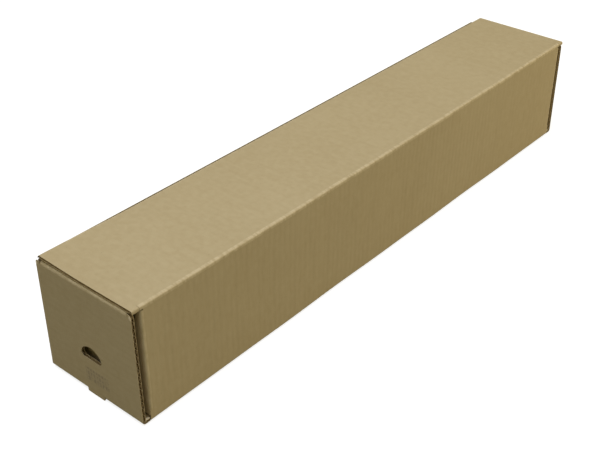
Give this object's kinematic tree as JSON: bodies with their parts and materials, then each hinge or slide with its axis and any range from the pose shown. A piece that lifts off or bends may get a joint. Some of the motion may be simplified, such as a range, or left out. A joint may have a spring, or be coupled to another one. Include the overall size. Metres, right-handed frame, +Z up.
{
  "type": "drawing tube",
  "caption": "Square corrugated-board postal tube for rolled drawings, with a full-length tuck lid and a tuck flap with a finger hole at each end.",
  "frame": {"origin": "on the table, under the middle of the tube, level with the lowest points, which are the two lips under the end flaps", "axes": "+X across the tube towards the wall the lid hinges on, +Y along the tube from the near end to the far end, +Z up"},
  "size_m": [0.111, 0.632, 0.114],
  "materials": {
    "outside_liner": "brown kraft liner, matt, faintly mottled",
    "inside_liner": "brown kraft liner, matt, a little darker than the outside"
  },
  "bodies": {
    "root": {"base_panel": "outside_liner", "hinge_wall": "outside_liner", "tuck_wall": "outside_liner"},
    "lid": {"lid_panel": "outside_liner"},
    "lid_tuck": {"lid_tuck": "inside_liner"},
    "near_flap": {"near_end_flap": "outside_liner"},
    "near_tuck": {"near_end_tuck": "inside_liner"},
    "near_hinge_side_dust": {"near_hinge_side_dust_flap": "inside_liner"},
    "near_tuck_side_dust": {"near_tuck_side_dust_flap": "inside_liner"},
    "far_flap": {"far_end_flap": "outside_liner"},
    "far_tuck": {"far_end_tuck": "inside_liner"},
    "far_hinge_side_dust": {"far_hinge_side_dust_flap": "inside_liner"},
    "far_tuck_side_dust": {"far_tuck_side_dust_flap": "inside_liner"}
  },
  "joints": [
    {"name": "lid_crease", "type": "hinge", "parent": "root", "child": "lid", "pos_m": [0.05486, 0, 0.11336], "axis": [0, 1, 0], "range_deg": [0, 180]},
    {"name": "lid_tuck_crease", "type": "hinge", "parent": "lid", "child": "lid_tuck", "pos_m": [-0.0492, 0, 0.111], "axis": [0, -1, 0], "range_deg": [-10, 70]},
    {"name": "near_flap_crease", "type": "hinge", "parent": "root", "child": "near_flap", "pos_m": [0, -0.31536, 0.00364], "axis": [1, 0, 0], "range_deg": [0, 90]},
    {"name": "near_tuck_crease", "type": "hinge", "parent": "near_flap", "child": "near_tuck", "pos_m": [0, -0.313, 0.1077], "axis": [-1, 0, 0], "range_deg": [-7, 35]},
    {"name": "near_hinge_side_dust_crease", "type": "hinge", "parent": "root", "child": "near_hinge_side_dust", "pos_m": [0.0525, -0.305, 0.057], "axis": [0, 0, -1], "range_deg": [0, 85]},
    {"name": "near_tuck_side_dust_crease", "type": "hinge", "parent": "root", "child": "near_tuck_side_dust", "pos_m": [-0.0525, -0.305, 0.057], "axis": [0, 0, 1], "range_deg": [0, 50]},
    {"name": "far_flap_crease", "type": "hinge", "parent": "root", "child": "far_flap", "pos_m": [0, 0.31536, 0.00364], "axis": [-1, 0, 0], "range_deg": [0, 90]},
    {"name": "far_tuck_crease", "type": "hinge", "parent": "far_flap", "child": "far_tuck", "pos_m": [0, 0.313, 0.1077], "axis": [1, 0, 0], "range_deg": [-7, 35]},
    {"name": "far_hinge_side_dust_crease", "type": "hinge", "parent": "root", "child": "far_hinge_side_dust", "pos_m": [0.0525, 0.305, 0.057], "axis": [0, 0, 1], "range_deg": [0, 85]},
    {"name": "far_tuck_side_dust_crease", "type": "hinge", "parent": "root", "child": "far_tuck_side_dust", "pos_m": [-0.0525, 0.305, 0.057], "axis": [0, 0, -1], "range_deg": [0, 50]}
  ]
}
